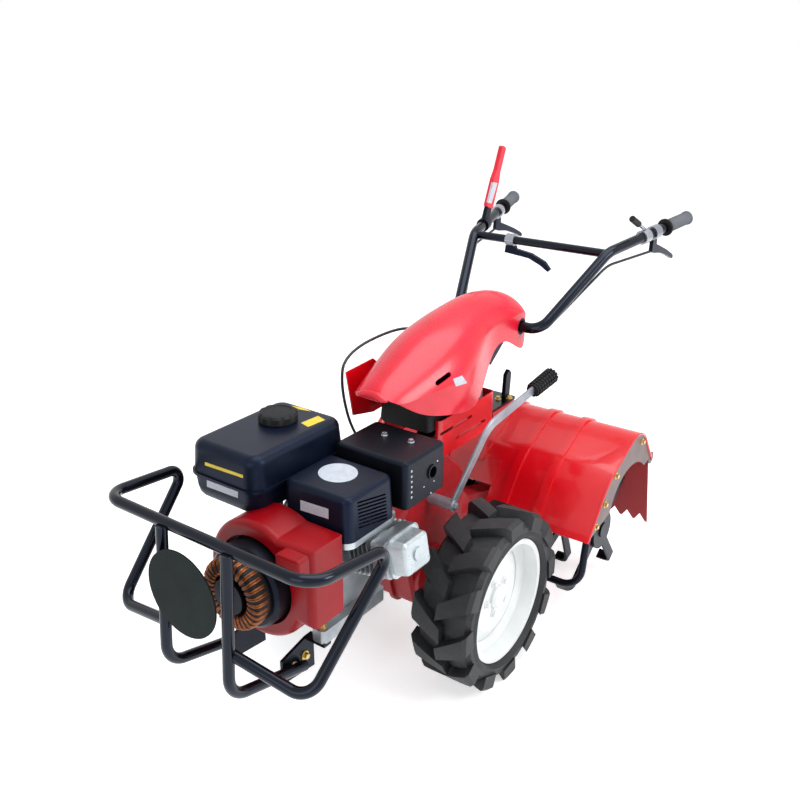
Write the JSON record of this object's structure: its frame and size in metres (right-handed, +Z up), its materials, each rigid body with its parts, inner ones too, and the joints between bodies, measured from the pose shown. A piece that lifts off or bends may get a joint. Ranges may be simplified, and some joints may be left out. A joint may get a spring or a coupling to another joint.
{
  "type": "power tiller",
  "caption": "Walk-behind power tiller: petrol engine and gearbox on two lug tyres, tube bumper in front, hooded tined rotor behind and handlebars on a covered column.",
  "frame": {"origin": "on the floor, at the middle of the machine's length and width", "axes": "+X forward, +Y to the operator's left, +Z up"},
  "size_m": [1.9184, 0.84, 1.3234],
  "materials": {
    "cleaner_base_grey": "satin",
    "cleaner_black": "satin",
    "cast_red": "satin",
    "bumper_black": "gloss",
    "carburettor_black": "satin",
    "bracket_black": "satin",
    "clutch_lever_red": "satin",
    "cover_red": "gloss",
    "guard_red": "gloss",
    "control_red": "satin",
    "engine_alloy": "satin",
    "handlebar_black": "gloss",
    "leg_red": "satin",
    "end_plate_grey": "satin",
    "shroud_red": "gloss",
    "plate_dark": "matte",
    "cap_black": "matte",
    "tank_black": "satin",
    "lever_steel": "polished",
    "lever_grip_black": "matte",
    "cable_black": "satin",
    "generator_black": "satin",
    "grip_grey": "matte",
    "guard_black": "satin",
    "hand_lever_black": "satin",
    "column_black": "satin",
    "clamp_chrome": "polished",
    "muffler_black": "matte",
    "flap_red": "satin",
    "rocker_silver": "satin",
    "rotor_black": "satin",
    "hood_red": "gloss",
    "tiller_lever_black": "satin",
    "tyre_rubber": "matte",
    "wheel_white": "satin",
    "hub_steel": "satin",
    "winding_copper": "satin"
  },
  "bodies": {
    "chassis": {"air_cleaner_base": "cleaner_base_grey", "air_cleaner_cover": "cleaner_black", "axle_tube_left": "cast_red", "axle_tube_right": "cast_red", "bumper": "bumper_black", "carburettor": "carburettor_black", "column_cover": "cover_red", "column_housing": "guard_red", "control_box": "control_red", "crankcase": "engine_alloy", "cylinder": "engine_alloy", "drive_leg": "leg_red", "end_plate_left": "end_plate_grey", "end_plate_right": "end_plate_grey", "engine_bracket_left": "bracket_black", "engine_bracket_right": "bracket_black", "fan_shroud": "shroud_red", "front_plate": "plate_dark", "fuel_cap": "cap_black", "fuel_tank": "tank_black", "gear_lever": "lever_steel", "gear_lever_grip": "lever_grip_black", "gearbox": "cast_red", "gearbox_cable": "cable_black", "generator": "generator_black", "guard_bar": "guard_black", "handle_column": "column_black", "hitch_plate": "bracket_black", "muffler": "muffler_black", "rocker_cover": "rocker_silver", "tiller_hood": "hood_red", "tiller_lever": "tiller_lever_black", "winding_ring": "winding_copper"},
    "wheel_left": {"tyre_left": "tyre_rubber", "wheel_disc_left": "wheel_white", "wheel_hub_left": "hub_steel"},
    "wheel_right": {"tyre_right": "tyre_rubber", "wheel_disc_right": "wheel_white", "wheel_hub_right": "hub_steel"},
    "tiller_rotor": {"rotor": "rotor_black"},
    "flap": {"rear_flap": "flap_red"},
    "handle": {"clutch_bracket": "bracket_black", "clutch_lever": "clutch_lever_red", "cross_bar": "handlebar_black", "grip_left": "grip_grey", "grip_right": "grip_grey", "hand_levers": "hand_lever_black", "handle_cables": "cable_black", "handlebar": "handlebar_black", "lever_clamps": "clamp_chrome", "throttle_knob": "hand_lever_black", "throttle_lever": "clamp_chrome"}
  },
  "joints": [
    {"name": "wheel_left_spin", "type": "hinge", "parent": "chassis", "child": "wheel_left", "pos_m": [0.1434, 0.264, 0.25], "axis": [0, 1, 0], "continuous": true},
    {"name": "wheel_right_spin", "type": "hinge", "parent": "chassis", "child": "wheel_right", "pos_m": [0.1434, -0.264, 0.25], "axis": [0, 1, 0], "continuous": true},
    {"name": "rotor_spin", "type": "hinge", "parent": "chassis", "child": "tiller_rotor", "pos_m": [-0.4016, 0, 0.2246], "axis": [0, 1, 0], "continuous": true},
    {"name": "flap_hinge", "type": "hinge", "parent": "chassis", "child": "flap", "pos_m": [-0.6056, 0, 0.413], "axis": [0, 1, 0], "range_deg": [0, 70]},
    {"name": "handle_height", "type": "hinge", "parent": "chassis", "child": "handle", "pos_m": [-0.3116, 0, 0.866], "axis": [0, 1, 0], "range_deg": [-10, 14]}
  ]
}
